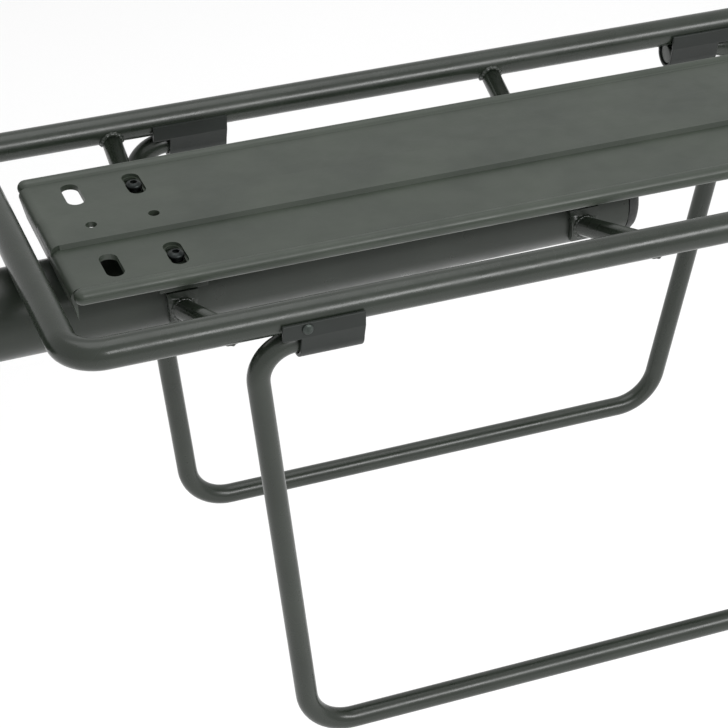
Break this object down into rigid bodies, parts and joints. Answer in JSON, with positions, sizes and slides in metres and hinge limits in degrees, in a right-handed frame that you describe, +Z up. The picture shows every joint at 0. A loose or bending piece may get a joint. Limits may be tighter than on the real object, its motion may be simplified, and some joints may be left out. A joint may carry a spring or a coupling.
{
  "type": "seat-post bicycle luggage carrier with folding pannier frames",
  "caption": "Seat-post clamped bicycle luggage carrier: rod perimeter, slotted deck plate, beam tube and hinged wire pannier frames.",
  "frame": {"origin": "where the axis of the seat post crosses the axis of the carrier's beam, in the middle of the clamp", "axes": "+X to the rear of the bicycle, along the beam; +Y to the bicycle's right; +Z up, square to the deck"},
  "size_m": [0.4756, 0.1552, 0.1769],
  "materials": {
    "rod_paint": "satin charcoal powder coat",
    "beam_paint": "satin charcoal powder coat",
    "deck_paint": "satin charcoal powder coat",
    "frame_paint": "satin charcoal powder coat",
    "bracket_paint": "satin charcoal powder coat",
    "cast_paint": "satin black powder coat",
    "bright_steel": "zinc plated",
    "dark_steel": "black plated",
    "black_plastic": "moulded, fine grain",
    "grey_rubber": "moulded, matt"
  },
  "bodies": {
    "carrier": {"perimeter_loop": "rod_paint", "beam_tube": "beam_paint", "beam_end_cap": "black_plastic", "deck_plate": "deck_paint", "deck_saddle": "beam_paint", "rear_cross_strap": "beam_paint", "strut_front_left": "rod_paint", "strut_rear_left": "rod_paint", "strut_front_right": "rod_paint", "strut_rear_right": "rod_paint", "deck_screw_front_left": "dark_steel", "deck_screw_rear_left": "dark_steel", "deck_screw_front_right": "dark_steel", "deck_screw_rear_right": "dark_steel", "hinge_bracket_front_left": "bracket_paint", "hinge_bracket_rear_left": "bracket_paint", "hinge_bracket_front_right": "bracket_paint", "hinge_bracket_rear_right": "bracket_paint", "bracket_rivet_front_left": "bright_steel", "bracket_rivet_rear_left": "bright_steel", "bracket_rivet_front_right": "bright_steel", "bracket_rivet_rear_right": "bright_steel", "clamp_body": "cast_paint", "jaw_hinge_pin": "dark_steel", "clamp_liner_rear": "grey_rubber", "qr_bolt": "bright_steel", "qr_adjusting_nut": "dark_steel", "qr_lever_barrel": "bright_steel"},
    "left_frame": {"pannier_frame_left": "frame_paint"},
    "right_frame": {"pannier_frame_right": "frame_paint"},
    "jaw": {"clamp_jaw": "cast_paint", "clamp_liner_front": "grey_rubber"},
    "lever": {"qr_lever": "cast_paint"}
  },
  "joints": [
    {"name": "left_frame_fold", "type": "hinge", "parent": "carrier", "child": "left_frame", "pos_m": [0.137, -0.07, 0.01481], "axis": [-1, 0, 0], "range_deg": [-22, 95]},
    {"name": "right_frame_fold", "type": "hinge", "parent": "carrier", "child": "right_frame", "pos_m": [0.137, 0.07, 0.01481], "axis": [1, 0, 0], "range_deg": [-22, 95]},
    {"name": "quick_release", "type": "hinge", "parent": "carrier", "child": "lever", "pos_m": [-0.01717, -0.0315, 0.00525], "axis": [0.2924, 0, 0.9563], "range_deg": [0, 160]},
    {"name": "jaw_release", "type": "hinge", "parent": "carrier", "child": "jaw", "pos_m": [0, 0.0291, 0], "axis": [-0.2924, 0, -0.9563], "range_deg": [0, 1.25]}
  ],
  "couplings": [
    {"joint": "jaw_release", "follows": "quick_release", "ratio": 0.0075}
  ]
}
